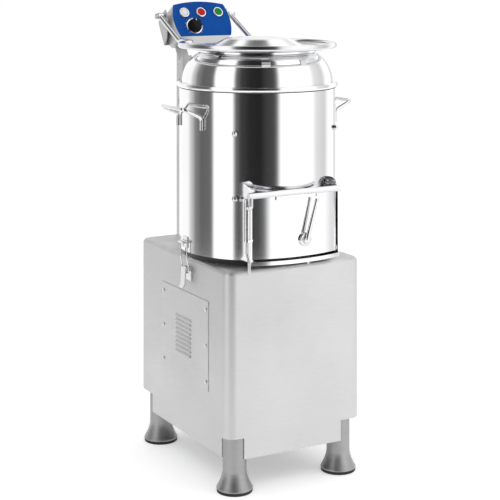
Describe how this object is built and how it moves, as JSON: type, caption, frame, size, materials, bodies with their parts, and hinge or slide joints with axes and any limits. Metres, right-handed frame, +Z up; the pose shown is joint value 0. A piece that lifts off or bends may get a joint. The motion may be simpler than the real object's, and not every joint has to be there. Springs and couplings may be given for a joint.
{
  "type": "electric potato peeler",
  "caption": "Floor-standing electric potato peeler with a steel drum over a motor cabinet, hooped lid, discharge door and a leaning control box.",
  "frame": {"origin": "on the floor, under the middle of the machine's bounding box", "axes": "+Z up, front with the discharge door towards -Y, control box at +Y, +X to the machine's right as seen from the front"},
  "size_m": [0.469, 0.6115, 1.1099],
  "materials": {
    "cabinet_steel": "satin brushed stainless sheet",
    "polished_steel": "polished stainless sheet",
    "rod_steel": "polished stainless rod",
    "cast_grey": "cast aluminium, machined faces",
    "shaft_steel": "turned steel",
    "pulley_iron": "machined cast iron",
    "motor_paint": "grey enamel",
    "rubber_black": "matt black rubber",
    "belt_rubber": "matt black belt",
    "gasket_white": "food grade silicone",
    "abrasive": "coarse bonded grit",
    "face_blue": "blue printed film on steel",
    "button_red": "red button cap",
    "button_green": "green button cap",
    "lamp_white": "white lamp lens",
    "knob_black": "black knob",
    "plastic_black": "black moulded plastic"
  },
  "bodies": {
    "frame": {"cabinet_shell": "cabinet_steel", "base_skirt": "cabinet_steel", "leg_1": "rod_steel", "leg_2": "rod_steel", "leg_3": "rod_steel", "leg_4": "rod_steel", "foot_pads": "rubber_black", "access_panel": "cabinet_steel", "panel_screws": "rod_steel", "drum_seat": "plastic_black", "drum_shell": "polished_steel", "dome_cover": "polished_steel", "neck_band": "polished_steel", "feed_gasket": "gasket_white", "liner_strip_1": "abrasive", "liner_strip_2": "abrasive", "liner_strip_3": "abrasive", "liner_strip_4": "abrasive", "liner_bolts": "rod_steel", "bearing_housing": "cast_grey", "bearings_and_seal": "shaft_steel", "drive_belt": "belt_rubber", "motor_plate": "rod_steel", "motor_body": "motor_paint", "drain_pipe": "rod_steel", "water_inlet": "rod_steel", "handle_left": "rod_steel", "handle_right": "rod_steel", "chute_frame": "polished_steel", "door_hinge_pin": "rod_steel", "latch_base_left": "rod_steel", "latch_base_right": "rod_steel", "latch_catches": "rod_steel", "support_post": "cabinet_steel", "box_bracket": "cabinet_steel", "control_box": "cabinet_steel", "control_face": "face_blue", "face_bezels": "rod_steel", "contact_blocks": "plastic_black", "signal_lamp": "lamp_white", "cable_gland": "plastic_black"},
    "turntable": {"turntable": "abrasive", "main_shaft": "shaft_steel", "driven_pulley": "pulley_iron"},
    "motor_rotor": {"motor_shaft": "pulley_iron"},
    "lid": {"lid_disc": "polished_steel", "lid_hoop": "rod_steel", "lid_tabs": "rod_steel"},
    "door": {"door_plate": "polished_steel", "door_gasket": "gasket_white", "door_frame": "rod_steel"},
    "door_handle": {"door_handle": "rod_steel"},
    "latch_lever_left": {"latch_lever_left": "rod_steel"},
    "latch_lever_right": {"latch_lever_right": "rod_steel"},
    "latch_loop_left": {"latch_loop_left": "rod_steel"},
    "latch_loop_right": {"latch_loop_right": "rod_steel"},
    "stop_button": {"stop_button": "button_red"},
    "start_button": {"start_button": "button_green"},
    "timer_knob": {"timer_knob": "knob_black"}
  },
  "joints": [
    {"name": "turntable_spin", "type": "hinge", "parent": "frame", "child": "turntable", "pos_m": [0, -0.07365, 0.545], "axis": [0, 0, 1], "continuous": true},
    {"name": "motor_spin", "type": "hinge", "parent": "frame", "child": "motor_rotor", "pos_m": [0, 0.12135, 0.3], "axis": [0, 0, 1], "continuous": true},
    {"name": "lid_open", "type": "hinge", "parent": "frame", "child": "lid", "pos_m": [0, 0.26135, 1.073], "axis": [-1, 0, 0], "range_deg": [0, 80]},
    {"name": "door_swing", "type": "hinge", "parent": "frame", "child": "door", "pos_m": [-0.137, -0.26965, 0.627], "axis": [0, 0, -1], "range_deg": [0, 110]},
    {"name": "door_handle_turn", "type": "hinge", "parent": "door", "child": "door_handle", "pos_m": [0.006, -0.28595, 0.575], "axis": [0, 1, 0], "range_deg": [0, 75]},
    {"name": "stop_press", "type": "slide", "parent": "frame", "child": "stop_button", "axis": [0, 0.8572, -0.515], "range_m": [0, 0.0035], "stiffness_N_per_m": 400},
    {"name": "start_press", "type": "slide", "parent": "frame", "child": "start_button", "axis": [0, 0.8572, -0.515], "range_m": [0, 0.0035], "stiffness_N_per_m": 400},
    {"name": "timer_turn", "type": "hinge", "parent": "frame", "child": "timer_knob", "pos_m": [-0.028, 0.21049, 1.04858], "axis": [0, 0.8572, -0.515], "range_deg": [0, 300]},
    {"name": "latch_lever_left_swing", "type": "hinge", "parent": "frame", "child": "latch_lever_left", "pos_m": [-0.1915, -0.06365, 0.486], "axis": [0, 1, 0], "range_deg": [0, 110]},
    {"name": "latch_loop_left_tilt", "type": "hinge", "parent": "latch_lever_left", "child": "latch_loop_left", "pos_m": [-0.1915, -0.06365, 0.478], "axis": [0, 1, 0], "range_deg": [-110, 0]},
    {"name": "latch_lever_right_swing", "type": "hinge", "parent": "frame", "child": "latch_lever_right", "pos_m": [0.1915, -0.06365, 0.486], "axis": [0, -1, 0], "range_deg": [0, 110]},
    {"name": "latch_loop_right_tilt", "type": "hinge", "parent": "latch_lever_right", "child": "latch_loop_right", "pos_m": [0.1915, -0.06365, 0.478], "axis": [0, -1, 0], "range_deg": [-110, 0]}
  ],
  "couplings": [
    {"joint": "motor_spin", "follows": "turntable_spin", "ratio": 3.4615},
    {"joint": "latch_loop_left_tilt", "follows": "latch_lever_left_swing", "ratio": -1},
    {"joint": "latch_loop_right_tilt", "follows": "latch_lever_right_swing", "ratio": -1}
  ]
}
